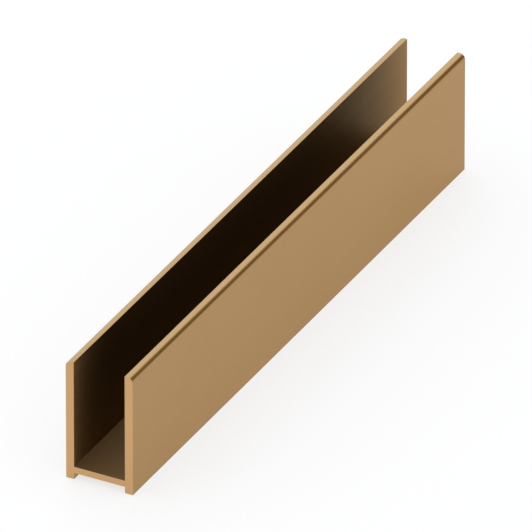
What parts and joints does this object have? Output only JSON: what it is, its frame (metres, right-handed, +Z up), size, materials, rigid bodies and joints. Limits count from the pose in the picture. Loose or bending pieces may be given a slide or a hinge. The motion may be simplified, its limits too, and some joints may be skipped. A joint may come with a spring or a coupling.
{
  "type": "aluminium extrusion profile",
  "caption": "Straight aluminium extrusion with a deep U section, rounded outer rims and a raised web on short feet; holds the edge of a glass pane or board along its slot.",
  "frame": {"origin": "middle of the bar's footprint, on the plane that its feet stand on", "axes": "+Z up, out of the slot's mouth; +Y along the bar; +X across the slot from one flange to the other"},
  "size_m": [0.025, 0.238, 0.045],
  "materials": {
    "anodised_aluminium": "satin"
  },
  "bodies": {
    "root": {"channel_profile": "anodised_aluminium"}
  },
  "joints": []
}
